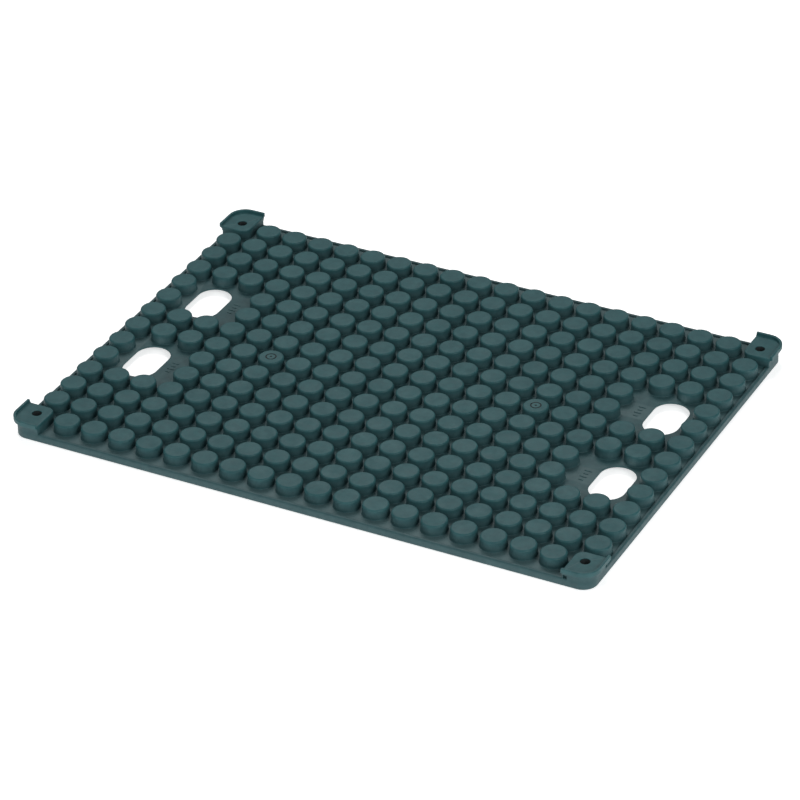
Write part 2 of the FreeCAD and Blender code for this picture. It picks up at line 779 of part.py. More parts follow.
def rounded_path(points, bend):
    """A wire of straight runs joined by tangent arcs of at most the given radius."""
    edges = []
    start = points[0]
    for before, corner, after in zip(points, points[1:], points[2:]):
        into = (corner - before).normalize()
        out = (after - corner).normalize()
        turn = into.getAngle(out)
        reach = bend * math.tan(turn / 2)
        room = MOST_OF_HALF * min((corner - before).Length, (after - corner).Length)
        reach = min(reach, room)
        first, last = corner - into * reach, corner + out * reach
        radius = reach / math.tan(turn / 2)
        inward = (out - into).normalize()
        middle = corner + inward * (radius / math.cos(turn / 2) - radius)
        if (first - start).Length > TOUCH / 10:
            edges.append(Part.LineSegment(start, first).toShape())
        edges.append(Part.Arc(first, middle, last).toShape())
        start = last
    edges.append(Part.LineSegment(start, points[-1]).toShape())
    return Part.Wire(edges)


def swept(path, section_wire):
    """Sweep a closed section along a path that starts at its place."""
    shell = path.makePipeShell([section_wire], True, False)
    return shell


def make_cable():
    """Heating cable in three stretches and the groove that it lies in."""
    radius = size("cable_diameter") / 2
    bend = size("pitch_x") / 2
    half_groove = size("cable_groove") / 2
    groove_depth = size("cable_diameter") + 2 * size("fit_clearance")
    stretches, grooves = [], []
    for points in cable_routes():
        path = rounded_path(points, bend)
        ahead = (points[1] - points[0]).normalize()
        circle = Part.Wire(Part.makeCircle(radius, points[0], ahead))
        tube = swept(path, circle)
        ratio = tube.Volume / (math.pi * radius ** 2 * path.Length)
        print("cable stretch %.0f mm, volume ratio %.4f" % (path.Length, ratio))
        stretches.append(tube)
        across = ahead.cross(UP)
        low = points[0] - UP * (radius + size("fit_clearance"))
        corners = [low - across * half_groove, low + across * half_groove]
        corners += [corners[1] + UP * groove_depth, corners[0] + UP * groove_depth]
        grooves.append(swept(path, Part.makePolygon(corners + corners[:1])))
    nodes.append(keep("heating_cable", Part.makeCompound(stretches)))
    return grooves


def sensor_box(gap):
    """Space of one heat sensor about a lattice point, grown by a gap."""
    length = size("sensor_length") + 2 * gap
    width = size("sensor_width") + 2 * gap
    height = size("sensor_thickness") + 2 * gap
    bottom = size("cable_centre") - size("cable_diameter") / 2 - gap
    return Part.makeBox(width, length, height, V(-width / 2, -length / 2, bottom))


def crimp_slot():
    """Slot for a sensor's two crimps, as wide and deep as the cable's groove."""
    length = size("sensor_length") + 2 * size("crimp_length")
    width = size("cable_groove")
    bottom = size("cable_centre") - size("cable_diameter") / 2 - size("fit_clearance")
    return Part.makeBox(width, length, width, V(-width / 2, -length / 2, bottom))


def make_insulation(grooves):
    """Foam sheet under the cable, with the cable's groove and pockets for the sensors."""
    body, outline = heater_layer("insulation_blank", "cover_top", "fit_clearance", "fit_clearance")
    for number, place in enumerate(FOOT_PLACES):
        x, y = lattice_expression(*place)
        round_hole(outline, "foot_%d" % number, x, y, "foot_head_radius + fit_clearance")
    pad(body, "insulation_pad", outline, "insulation_thickness")
    tools = list(grooves)
    tools += corner_clearances(size("cover_top") - 1.0, size("floor_top"))
    sensor_places = [lattice(*place) for place in MARKED_STUDS]
    tools += copies(sensor_box(size("fit_clearance")), sensor_places)
    tools += copies(crimp_slot(), sensor_places)
    insulation = doc.addObject("Part::Cut", "insulation_sheet")
    insulation.Base = body
    insulation.Tool = keep("insulation_cuts", tools[0].multiFuse(tools[1:]))
    insulation.Label = "insulation_sheet"
    nodes.append(insulation)


def make_sensors():
    """Thermostat and safety cut-out, each held in its stud by a silicone plug."""
    for label, place in zip(("control_thermostat", "safety_cutout"), MARKED_STUDS):
        box = doc.addObject("Part::Box", label + "_case")
        bind(box, "Length", "sensor_width")
        bind(box, "Width", "sensor_length")
        bind(box, "Height", "sensor_thickness")
        case = doc.addObject("Part::Fillet", label)
        case.Base = box
        edge = size("sensor_edge")
        case.Edges = [(number, edge, edge) for number in range(1, BOX_EDGES + 1)]
        case.Label = label
        x, y = lattice_expression(*place)
        bind(case, "Placement.Base.x", x + " - sensor_width / 2")
        bind(case, "Placement.Base.y", y + " - sensor_length / 2")
        bind(case, "Placement.Base.z", "cable_centre - cable_diameter / 2")
        nodes.append(case)
    sensor_top = size("cable_centre") - size("cable_diameter") / 2 + size("sensor_thickness")
    bottom = sensor_top + size("fit_clearance")
    top = size("stud_top") - size("stud_wall") - size("fit_clearance")
    radius = size("stud_top_radius") - size("stud_wall") - size("hole_clearance")
    plug = Part.makeCone(radius, radius - size("plug_draft"), top - bottom, V(0, 0, bottom))
    shape = Part.makeCompound(copies(plug, [lattice(*place) for place in MARKED_STUDS]))
    nodes.append(keep("sensor_plugs", shape))


def make_crimp_joints():
    """Crimps that join the cable's cut ends to the sensors' ends."""
    radius, length = size("crimp_radius"), size("crimp_length")
    crimp = Part.makeCylinder(radius, length, V(0, 0, 0), V(0, 1, 0))
    places = []
    for column, row in MARKED_STUDS:
        end = size("sensor_length") / 2
        centre = lattice(column, row, size("cable_centre"))
        places += [centre + V(0, end, 0), centre - V(0, end + length, 0)]
    nodes.append(keep("crimp_joints", Part.makeCompound(copies(crimp, places))))


# ---------------------------------------------------------------- supply side

def make_supply_splices():
    """Two sleeves that close the cable's ends in the rear left lug."""
    routes = cable_routes()
    length, radius = size("splice_length"), size("splice_radius")
    rise = UP * (radius - size("cable_diameter") / 2)
    first, last = routes[0][0], routes[-1][-1]
    across = Part.makeCylinder(radius, length, first - V(length, 0, 0) + rise, V(1, 0, 0))
    along = Part.makeCylinder(radius, length, last + rise, V(0, 1, 0))
    nodes.append(keep("supply_splices", Part.makeCompound([across, along])))


def inlet_axis_point():
    """Point on the outside of the back wall where the cord goes in."""
    x = column_x(0) + size("inlet_shift")
    return V(x, size("width") / 2, size("inlet_height"))


def inlet_hole():
    """Round hole in the rear wall of the left lug."""
    start = inlet_axis_point() + V(0, 1, 0)
    return Part.makeCylinder(size("inlet_hole_radius"), size("skirt_wall") + 2, start, V(0, -1, 0))


def make_cord_inlet():
    """Rubber grommet in the inlet hole: outer flange and barrel with the cord's bore."""
    flange, barrel = size("inlet_flange"), size("inlet_barrel")
    bore, hole = size("inlet_bore_radius"), size("inlet_hole_radius") - size("fit_clearance") / 2
    edge = size("inlet_edge")
    grommet = turned([(bore, -flange), (size("inlet_flange_radius") - edge, -flange),
                      (size("inlet_flange_radius"), edge - flange), (size("inlet_flange_radius"), 0),
                      (hole, 0), (hole, barrel), (bore, barrel)])
    grommet.rotate(V(0, 0, 0), V(1, 0, 0), 90)
    grommet.translate(inlet_axis_point())
    nodes.append(keep("cord_inlet_grommet", grommet))


# ---------------------------------------------------------------- checks and files

def check_document():
    """Stop if any object failed to recompute or any node's shape is unsound."""
    for item in doc.Objects:
        if "Invalid" in item.State or "Error" in item.State:
            raise RuntimeError("%s did not recompute: %s" % (item.Name, item.State))
    for node in nodes:
        if node.Shape.isNull() or not node.Shape.isValid():
            raise RuntimeError("%s has no sound shape" % node.Label)


def write_files():
    """Write one STEP file per node."""
    os.makedirs("parts", exist_ok=True)
    for node in nodes:
        node.Shape.exportStep("parts/%s.step" % node.Label)
        box = node.Shape.BoundBox
        print("%-22s solids %3d  volume %9.0f  z %.2f to %.2f"
              % (node.Label, len(node.Shape.Solids), node.Shape.Volume, box.ZMin, box.ZMax))


fill_sheet()
make_bottom_cover()
make_perimeter_seal()
make_window_seals()
make_cover_screws()
make_rubber_feet()
make_heat_spreader()
make_insulation(make_cable())
make_sensors()
make_crimp_joints()
make_supply_splices()
make_cord_inlet()
make_top_plate()
doc.recompute()
check_document()
write_files()
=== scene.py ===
# %% [markdown]
# # A heated plate for seed trays, built in cells
# The imported CAD model is the fixed frame of this scene. It already has every piece
# in its real place and size, so the first cell loads it, writes each piece's placement
# into its mesh and removes the empty nodes.

import math
import random

import bmesh
import bpy
from mathutils import Matrix, Vector


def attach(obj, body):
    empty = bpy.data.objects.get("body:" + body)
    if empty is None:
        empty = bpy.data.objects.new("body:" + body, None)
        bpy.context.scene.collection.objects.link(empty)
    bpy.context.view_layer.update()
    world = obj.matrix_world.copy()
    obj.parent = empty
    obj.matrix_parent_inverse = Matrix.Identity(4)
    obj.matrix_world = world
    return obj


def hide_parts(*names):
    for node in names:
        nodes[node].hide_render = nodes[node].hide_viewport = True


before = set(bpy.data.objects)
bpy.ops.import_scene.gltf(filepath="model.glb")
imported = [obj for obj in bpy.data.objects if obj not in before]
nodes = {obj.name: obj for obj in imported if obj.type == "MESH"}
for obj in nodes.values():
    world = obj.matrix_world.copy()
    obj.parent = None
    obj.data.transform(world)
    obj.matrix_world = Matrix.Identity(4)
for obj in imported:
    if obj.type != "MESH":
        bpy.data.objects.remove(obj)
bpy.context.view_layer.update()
print("pieces in the frame:", len(nodes))

# %% [markdown]
# ## The camera first
# A product picture of a flat plate is taken from far away with a long lens, so that
# the rows of studs stay almost parallel. The camera is set by the angles round the
# plate, the way a photographer would walk round a table: how far to the right, how
# high, how far away, and a small tilt of the tripod head.

# %% Camera
VIEW_AZIMUTH = 27.93
VIEW_ELEVATION = 32.29
VIEW_DISTANCE = 3.5425
VIEW_ROLL = -1.36
VIEW_LENS = 178.6
VIEW_TARGET = Vector((0.0073, -0.0183, 0.0082))


def place_camera():
    """Stand the camera off the target along its two angles, then tilt it."""
    azimuth, elevation = math.radians(VIEW_AZIMUTH), math.radians(VIEW_ELEVATION)
    away = Vector((math.sin(azimuth) * math.cos(elevation),
                   -math.cos(azimuth) * math.cos(elevation),
                   math.sin(elevation)))
    data = bpy.data.cameras.new("product_camera")
    data.lens = VIEW_LENS
    data.sensor_width = 36.0
    data.clip_end = 50.0
    camera = bpy.data.objects.new("product_camera", data)
    bpy.context.scene.collection.objects.link(camera)
    camera.location = VIEW_TARGET + away * VIEW_DISTANCE
    level = (-away).to_track_quat("-Z", "Y").to_matrix()
    tilt = level @ Matrix.Rotation(math.radians(VIEW_ROLL), 3, "Z")
    camera.rotation_euler = tilt.to_euler()
    return camera


bpy.context.scene.camera = place_camera()
print("camera at", [round(value, 3) for value in bpy.context.scene.camera.location])

# %% [markdown]
# ## The driving sizes
# The moulding is rebuilt here with softer edges than the CAD model has, so its sizes
# are repeated once, in millimetres, by the names that a toolmaker would use. The rest
# of the file works in millimetres too, and one factor turns them into metres.

# %% Sizes of the moulding
MM = 0.001
COLUMNS, ROWS = 20, 14
PITCH_X, PITCH_Y = 28.0, 28.5
END_MARGIN, SIDE_MARGIN = 16.6, 21.8
HALF_LENGTH = (COLUMNS - 1) * PITCH_X / 2 + END_MARGIN
HALF_WIDTH = (ROWS - 1) * PITCH_Y / 2 + SIDE_MARGIN
CORNER_RADIUS = 13.5
SKIRT_BOTTOM, FLOOR_UNDER, FLOOR_TOP, RIM_TOP, STUD_TOP = 0.8, 4.6, 6.4, 8.0, 16.4
RIM_WIDTH, SKIRT_WALL, SKIRT_ROUND = 3.6, 2.0, 1.6
print("plate in mm:", round(2 * HALF_LENGTH, 1), "by", round(2 * HALF_WIDTH, 1))


def column_x(column):
    """Place of a stud column along the plate."""
    return (column - (COLUMNS - 1) / 2) * PITCH_X


def row_y(row):
    """Place of a stud row across the plate."""
    return (row - (ROWS - 1) / 2) * PITCH_Y


# %% [markdown]
# ## Rings and skins
# Nearly every surface of a moulding can be described as a stack of closed outlines:
# start low, draw an outline, go up a little, draw the next one, and stretch a skin
# between them. Edges get their rounding from two or three extra outlines. Two small
# helpers are enough for studs, rims, holes and corner blocks.

# %% Helpers for outlines
def rounded_outline(x0, y0, x1, y1, radii, steps=8):
    """Points of a rectangle with four corner radii, anticlockwise."""
    corners = ((x0, y0, 1, 1), (x1, y0, -1, 1), (x1, y1, -1, -1), (x0, y1, 1, -1))
    points = []
    for number, ((x, y, to_x, to_y), radius) in enumerate(zip(corners, radii)):
        for step in range(steps + 1):
            angle = math.radians(180 + 90 * (number + step / steps))
            points.append((x + to_x * radius + radius * math.cos(angle),
                           y + to_y * radius + radius * math.sin(angle)))
    return points


def circle_outline(x, y, radius, count):
    """Points of a circle, anticlockwise."""
    return [(x + radius * math.cos(math.tau * step / count),
             y + radius * math.sin(math.tau * step / count)) for step in range(count)]


def arc(centre_out, centre_up, radius, start, end, steps):
    """Points of an arc in a section, as distance out and height, angles in degrees."""
    angles = [math.radians(start + (end - start) * step / steps) for step in range(steps + 1)]
    return [(centre_out + radius * math.cos(angle), centre_up + radius * math.sin(angle))
            for angle in angles]


def add_ring(mesh, points, height):
    """Put one closed outline into the mesh at a height."""
    return [mesh.verts.new((x * MM, y * MM, height * MM)) for x, y in points]


def skin(mesh, lower, upper):
    """Stretch faces between two outlines with as many points."""
    count = len(lower)
    for here in range(count):
        there = (here + 1) % count
        mesh.faces.new((lower[here], lower[there], upper[there], upper[here]))


def skin_all(mesh, rings):
    """Stretch faces between each outline and the next."""
    for lower, upper in zip(rings, rings[1:]):
        skin(mesh, lower, upper)


# %% [markdown]
# ## The floor with its finger cut-outs
# The floor is a thin sheet with four long finger cut-outs and, hidden in the corners,
# four holes for the stacking tubes. A sheet with holes is easiest to make as two
# filled outlines with walls between them. The cut-out walls get a small rounding at
# the top and bottom, because a hand goes through there and a sharp edge would cut.

# %% Floor
CUTOUT_LENGTH, CUTOUT_WIDTH, CUTOUT_RADIUS = 33.0, 54.6, 16.4
CUTOUT_OUTWARD, CUTOUT_BACKWARD = 8.8, 1.2
CUTOUT_ROWS = (4, 8)
CUTOUT_EDGE = 0.5
TUBE_RADIUS, TUBE_WALL, TUBE_SHIFT = 4.35, 1.6, 2.0
CORNER_SIDES = ((-1, -1), (1, -1), (1, 1), (-1, 1))


def cutout_centres():
    """Middles of the four finger cut-outs, measured from their end of the plate."""
    across = -column_x(1.5) + CUTOUT_OUTWARD
    return [(side * across, row_y(row + 0.5) + CUTOUT_BACKWARD) for side in (-1, 1) for row in CUTOUT_ROWS]


def cutout_outline(x, y, grow):
    """Outline of one finger cut-out, grown by a little for its rounded edges."""
    half_x, half_y = CUTOUT_LENGTH / 2 + grow, CUTOUT_WIDTH / 2 + grow
    return rounded_outline(x - half_x, y - half_y, x + half_x, y + half_y,
                           [CUTOUT_RADIUS + grow] * 4, steps=10)


def tube_centre(side_x, side_y):
    """Middle of a corner's stacking hole."""
    return (side_x * (-column_x(0) + TUBE_SHIFT), side_y * (-row_y(0) + TUBE_SHIFT))


def fill_sheet(mesh, rings):
    """Fill the space between an outer outline and the holes in it."""
    edges = set()
    for ring in rings:
        for here, there in zip(ring, ring[1:] + ring[:1]):
            edges.add(mesh.edges.get((here, there)) or mesh.edges.new((here, there)))
    bmesh.ops.triangle_fill(mesh, use_beauty=True, edges=list(edges))


def add_floor(mesh):
    """The floor sheet: edge and holes as walls, then a filled top and underside."""
    inset = RIM_WIDTH + 1.0
    edge = rounded_outline(-HALF_LENGTH + inset, -HALF_WIDTH + inset, HALF_LENGTH - inset,
                           HALF_WIDTH - inset, [CORNER_RADIUS - inset] * 4)
    columns = [[add_ring(mesh, edge, FLOOR_UNDER), add_ring(mesh, edge, FLOOR_TOP)]]
    rounding = arc(CUTOUT_EDGE, 0.0, CUTOUT_EDGE, 180, 90, 3)
    for x, y in cutout_centres():
        low = [(grow, FLOOR_UNDER + CUTOUT_EDGE - up) for grow, up in reversed(rounding)]
        high = [(grow, FLOOR_TOP - CUTOUT_EDGE + up) for grow, up in rounding]
        columns.append([add_ring(mesh, cutout_outline(x, y, grow), z) for grow, z in low + high])
    for sides in CORNER_SIDES:
        hole = circle_outline(*tube_centre(*sides), TUBE_RADIUS + TUBE_WALL / 2, 24)
        columns.append([add_ring(mesh, hole, FLOOR_UNDER), add_ring(mesh, hole, FLOOR_TOP)])
    for rings in columns:
        skin_all(mesh, rings)
    fill_sheet(mesh, [rings[0] for rings in columns])
    fill_sheet(mesh, [rings[-1] for rings in columns])


print("cut-out middles:", [(round(x, 1), round(y, 1)) for x, y in cutout_centres()])

# %% [markdown]
# ## Rim and skirt
# All round the plate a low rim keeps spilled water on the floor, and the skirt below
# it hides the cover. In the mould this is one section pulled round the outline, so it
# is built that way here: a list of section points, each used as the inset and height
# of one closed outline. The outer top edge has the big rounding that catches light.

# %% Rim
RIM_EDGE, RIM_FOOT, SKIRT_FOOT = 0.8, 0.8, 0.35


def rim_section():
    """Inset and height of every line of the rim, once round its section."""
    outer = arc(SKIRT_ROUND, RIM_TOP - SKIRT_ROUND, SKIRT_ROUND, 180, 90, 8)
    inner = arc(RIM_WIDTH - RIM_EDGE, RIM_TOP - RIM_EDGE, RIM_EDGE, 90, 0, 4)
    foot = arc(RIM_WIDTH + RIM_FOOT, FLOOR_TOP + RIM_FOOT, RIM_FOOT, 180, 270, 4)
    under = [(RIM_WIDTH + RIM_FOOT + 0.5, FLOOR_TOP - 0.3), (RIM_WIDTH + 1.4, FLOOR_UNDER),
             (SKIRT_WALL, FLOOR_UNDER), (SKIRT_WALL, SKIRT_BOTTOM + SKIRT_FOOT)]
    bottom = [(SKIRT_WALL - SKIRT_FOOT, SKIRT_BOTTOM), (SKIRT_FOOT, SKIRT_BOTTOM),
              (SKIRT_FOOT * 0.3, SKIRT_BOTTOM + SKIRT_FOOT * 0.3), (0.0, SKIRT_BOTTOM + SKIRT_FOOT)]
    return outer + inner + foot + under + bottom


def add_rim(mesh):
    """Pull the rim's section once round the plate."""
    rings = []
    for inset, height in rim_section():
        points = rounded_outline(-HALF_LENGTH + inset, -HALF_WIDTH + inset, HALF_LENGTH - inset,
                                 HALF_WIDTH - inset, [CORNER_RADIUS - inset] * 4, steps=14)
        rings.append(add_ring(mesh, points, height))
    skin_all(mesh, rings + rings[:1])


# %% [markdown]
# ## The studs
# Each stud is a low drum with a little draft, so that the moulding leaves the tool,
# a rounded top edge and a small fillet at its foot. One list of radii and heights
# describes it, and the list is turned once round. The drum is closed: only its
# outside is rebuilt here, while the CAD model also has the hollow inside. Two studs carry a round moulding
# mark: for these the list dips into a groove before it reaches the middle.

# %% Studs
STUD_SEGMENTS = 40
STUD_TOP_RADIUS, STUD_BASE_RADIUS, STUD_ROUND, STUD_FOOT = 11.8, 12.1, 1.8, 0.5
STUD_SINK = 0.8
MARK_RADIUS, MARK_GROOVE, MARK_DEPTH, MARK_SOFT = 5.0, 0.9, 0.5, 0.15
MARKED_STUDS = ((5, 6), (14, 7))


def stud_places():
    """Lattice places with a stud: not in the corners, not where hands reach in."""
    blocked = {(column, row) for column in (0, COLUMNS - 1) for row in (0, ROWS - 1)}
    for first in CUTOUT_ROWS:
        for column in (1, 2, COLUMNS - 3, COLUMNS - 2):
            blocked.update([(column, first), (column, first + 1)])
    everywhere = [(column, row) for column in range(COLUMNS) for row in range(ROWS)]
    return [place for place in everywhere if place not in blocked]


def stud_section():
    """Radius and height of a stud's rings, from inside the floor up to its flat top."""
    foot = arc(STUD_BASE_RADIUS + STUD_FOOT, FLOOR_TOP + STUD_FOOT, STUD_FOOT, 270, 180, 3)
    edge = arc(STUD_TOP_RADIUS - STUD_ROUND, STUD_TOP - STUD_ROUND, STUD_ROUND, 0, 90, 7)
    return [(STUD_BASE_RADIUS + STUD_FOOT, FLOOR_TOP - STUD_SINK)] + foot + edge


def mark_section():
    """Rings of the moulding mark: a round groove, then a small pit in the middle."""
    deep = STUD_TOP - MARK_DEPTH
    inner = MARK_RADIUS - MARK_GROOVE
    return [(MARK_RADIUS + MARK_SOFT, STUD_TOP), (MARK_RADIUS - MARK_SOFT, deep),
            (inner + MARK_SOFT, deep), (inner - MARK_SOFT, STUD_TOP),
            (MARK_GROOVE + MARK_SOFT, STUD_TOP), (MARK_GROOVE - MARK_SOFT, deep)]


def add_stud(mesh, x, y, marked):
    """Turn the stud's section once round its own axis."""
    section = stud_section() + (mark_section() if marked else [])
    rings = [add_ring(mesh, circle_outline(x, y, radius, STUD_SEGMENTS), z) for radius, z in section]
    skin_all(mesh, rings)
    mesh.faces.new(rings[0])
    mesh.faces.new(rings[-1])


def add_studs(mesh):
    """All studs of the lattice."""
    for column, row in stud_places():
        add_stud(mesh, column_x(column), row_y(row), (column, row) in MARKED_STUDS)


print("studs:", len(stud_places()))

# %% [markdown]
# ## The corner blocks
# Each corner has a block as high as the studs with a stacking hole through it and a
# raised lip along its two outer sides, so that a second plate or a tray can't slide
# off. The block is a stack of outlines that runs up the outside, over the top, down
# the hole and back, which makes it one closed form. It is written for one corner, and
# two signs send it to the other three.

# %% Corner blocks
BLOCK_REACH_X, BLOCK_REACH_Y, BLOCK_INNER_RADIUS = 10.3, 11.4, 8.0
BLOCK_FOOT, BLOCK_ROUND, BLOCK_END_RADIUS, BLOCK_TUCK = 0.6, 1.2, 0.6, 1.0
HOLE_ROUND, FLAT_RING = 0.5, 0.5
BLOCK_STEPS = 11


def block_outline(grow, outward):
    """Outline of the front left block; its inner and outer sides grow by their own amounts."""
    x0, y0 = -HALF_LENGTH - outward, -HALF_WIDTH - outward
    x1 = column_x(0) + BLOCK_REACH_X + grow
    y1 = row_y(0) + BLOCK_REACH_Y + grow
    radii = (CORNER_RADIUS + outward, BLOCK_END_RADIUS, BLOCK_INNER_RADIUS + grow, BLOCK_END_RADIUS)
    corners = rounded_outline(x0, y0, x1, y1, radii, steps=BLOCK_STEPS)
    points = []
    for number, point in enumerate(corners):
        points.append(point)
        if (number + 1) % (BLOCK_STEPS + 1) == 0:
            following = corners[(number + 1) % len(corners)]
            for step in range(1, BLOCK_STEPS):
                share = step / BLOCK_STEPS
                points.append(tuple(a + (b - a) * share for a, b in zip(point, following)))
    return points


def around_hole(outline, centre, radius):
    """Points on a circle, evenly apart, that start in line with the outline's first point."""
    first = math.atan2(outline[0][1] - centre[1], outline[0][0] - centre[0])
    turns = [first + math.tau * step / len(outline) for step in range(len(outline))]
    return [(centre[0] + radius * math.cos(turn), centre[1] + radius * math.sin(turn)) for turn in turns]


def block_rings():
    """Points and height of each outline of the front left block, once through."""
    centre = tube_centre(-1, -1)
    foot = arc(BLOCK_FOOT, FLOOR_TOP + BLOCK_FOOT, BLOCK_FOOT, 270, 180, 4)
    edge = arc(-BLOCK_ROUND, STUD_TOP - BLOCK_ROUND, BLOCK_ROUND, 0, 90, 6)
    rings = [(block_outline(BLOCK_FOOT, -BLOCK_TUCK), FLOOR_TOP - STUD_SINK)]
    rings += [(block_outline(grow, 0.0), height) for grow, height in foot + edge]
    rings.append((block_outline(-BLOCK_ROUND - FLAT_RING, -BLOCK_TUCK), STUD_TOP))
    reference = block_outline(0.0, 0.0)
    mouth = arc(TUBE_RADIUS + HOLE_ROUND, STUD_TOP - HOLE_ROUND, HOLE_ROUND, 90, 180, 4)
    heel = arc(TUBE_RADIUS + HOLE_ROUND, SKIRT_BOTTOM + HOLE_ROUND, HOLE_ROUND, 180, 270, 3)
    tube = [(TUBE_RADIUS + TUBE_WALL, SKIRT_BOTTOM), (TUBE_RADIUS + TUBE_WALL, FLOOR_TOP - STUD_SINK)]
    flat = [(TUBE_RADIUS + HOLE_ROUND + FLAT_RING, STUD_TOP)]
    for radius, height in flat + mouth + heel + tube:
        rings.append((around_hole(reference, centre, radius), height))
    return rings


def to_corner(points, sides):
    """Mirror points made for the front left corner to another corner."""
    return [(-sides[0] * x, -sides[1] * y) for x, y in points]


def add_block(mesh, sides):
    """One corner block with its stacking hole."""
    rings = [add_ring(mesh, to_corner(points, sides), height) for points, height in block_rings()]
    skin_all(mesh, rings + rings[:1])


# %% [markdown]
# ## The lips
# A lip is a section pulled along two straight sides and the corner between them. Its
# outer face hangs down a little and runs back into the wall with a hollow curve, the
# cove, which leaves a dark shadow line under it. The path is an open one, so the two
# ends are closed, and the first and last sections are drawn slightly smaller to
# round the ends off.

# %% Lips
LIP_CLEARANCE, LIP_THICKNESS, LIP_HEIGHT, LIP_DROP, FLARE_HEIGHT = 0.4, 2.6, 3.0, 1.3, 3.4
LIP_EDGE, LIP_FOOT, LIP_ROOT = 0.7, 0.4, 0.6
LIP_END_STEPS = ((0.0, 0.55), (0.15, 0.25), (0.45, 0.05), (0.8, 0.0))


def lip_section():
    """Distance outwards from the wall, and height, once round the lip's section."""
    outer, crest = LIP_CLEARANCE + LIP_THICKNESS, STUD_TOP + LIP_HEIGHT
    foot = STUD_TOP - LIP_DROP - FLARE_HEIGHT
    cove = [(outer * (1 - across), foot + FLARE_HEIGHT * up) for across, up in arc(0, 0, 1, 0, 90, 8)]
    top = (arc(outer - LIP_EDGE, crest - LIP_EDGE, LIP_EDGE, 0, 90, 4)
           + arc(LIP_CLEARANCE + LIP_EDGE, crest - LIP_EDGE, LIP_EDGE, 90, 180, 4))
    root = arc(LIP_CLEARANCE - LIP_FOOT, STUD_TOP + LIP_FOOT, LIP_FOOT, 0, -90, 3)
    inside = [(-LIP_ROOT, STUD_TOP - LIP_FOOT), (-LIP_ROOT, foot)]
    return cove + top + root + inside


def lip_stations():
    """Where the section stands along the lip: a point, its outward direction, and how much it shrinks."""
    corner_x, corner_y = -HALF_LENGTH + CORNER_RADIUS, -HALF_WIDTH + CORNER_RADIUS
    end_x, end_y = column_x(0) + BLOCK_REACH_X, row_y(0) + BLOCK_REACH_Y
    start = [((-HALF_LENGTH, end_y - along), (-1.0, 0.0), shrink) for along, shrink in LIP_END_STEPS]
    finish = [((end_x - along, -HALF_WIDTH), (0.0, -1.0), shrink)
              for along, shrink in reversed(LIP_END_STEPS)]
    bend = []
    for out_x, out_y in arc(0.0, 0.0, 1.0, 180, 270, 14):
        place = (corner_x + out_x * CORNER_RADIUS, corner_y + out_y * CORNER_RADIUS)
        bend.append((place, (out_x, out_y), 0.0))
    return start + bend + finish


def add_lip(mesh, sides):
    """Pull the lip's section along its corner and close both ends."""
    section = lip_section()
    middle_out = LIP_CLEARANCE + LIP_THICKNESS / 2
    middle_up = STUD_TOP + LIP_HEIGHT / 2
    rings = []
    for (x, y), (out_x, out_y), shrink in lip_stations():
        ring = []
        for out, up in section:
            step = Vector((middle_out - out, middle_up - up))
            step = step.normalized() * min(shrink, step.length)
            far, high = out + step.x, up + step.y
            px, py = to_corner([(x + out_x * far, y + out_y * far)], sides)[0]
            ring.append(mesh.verts.new((px * MM, py * MM, high * MM)))
        rings.append(ring)
    skin_all(mesh, rings)
    mesh.faces.new(rings[0])
    mesh.faces.new(rings[-1])


print("lip section points:", len(lip_section()))

# %% [markdown]
# ## Notches, raised bars and the finished moulding
# Under both ends of the lips on two of the corners there is a small pocket in the
# outer wall. A pocket is the one shape here that an outline can't give, so it is cut
# with a boolean modifier on the corner block alone, where it stays quick and safe.
# On the floor beside each cut-out stand a few plain raised bars.

# %% Notches and bars
NOTCHED_CORNERS = ((1, -1), (-1, 1))
NOTCH_WIDTH, NOTCH_HEIGHT, NOTCH_DEPTH, NOTCH_INSET = 3.8, 6.0, 2.6, 0.7
BAR_WIDTH, BAR_RISE, BAR_GAP, BAR_DISTANCE, BAR_EDGE = 1.3, 0.6, 5.0, 10.0, 0.25
BAR_LENGTHS = (4.5, 7.0, 4.5, 7.0)


def add_bar(mesh, x, y, length, width, low, high, edge):
    """A bar lying along X with softened top edges."""
    rings = []
    for inset, height in ((0.0, low), (0.0, high - edge), (edge * 0.3, high - edge * 0.3), (edge, high)):
        half_x, half_y = length / 2 - inset, width / 2 - inset
        outline = rounded_outline(x - half_x, y - half_y, x + half_x, y + half_y,
                                  [width / 2 - inset - 0.01] * 4, steps=4)
        rings.append(add_ring(mesh, outline, height))
    skin_all(mesh, rings)
    mesh.faces.new(rings[0])
    mesh.faces.new(rings[-1])


def add_bars(mesh):
    """Four bars on the floor on the inner side of every cut-out."""
    for x, y in cutout_centres():
        inward = -1 if x > 0 else 1
        bar_x = x + inward * (CUTOUT_LENGTH / 2 + BAR_DISTANCE)
        for step, length in enumerate(BAR_LENGTHS):
            bar_y = y + (step - (len(BAR_LENGTHS) - 1) / 2) * BAR_GAP
            add_bar(mesh, bar_x, bar_y, length, BAR_WIDTH, FLOOR_TOP - STUD_SINK, FLOOR_TOP + BAR_RISE,
                    BAR_EDGE)


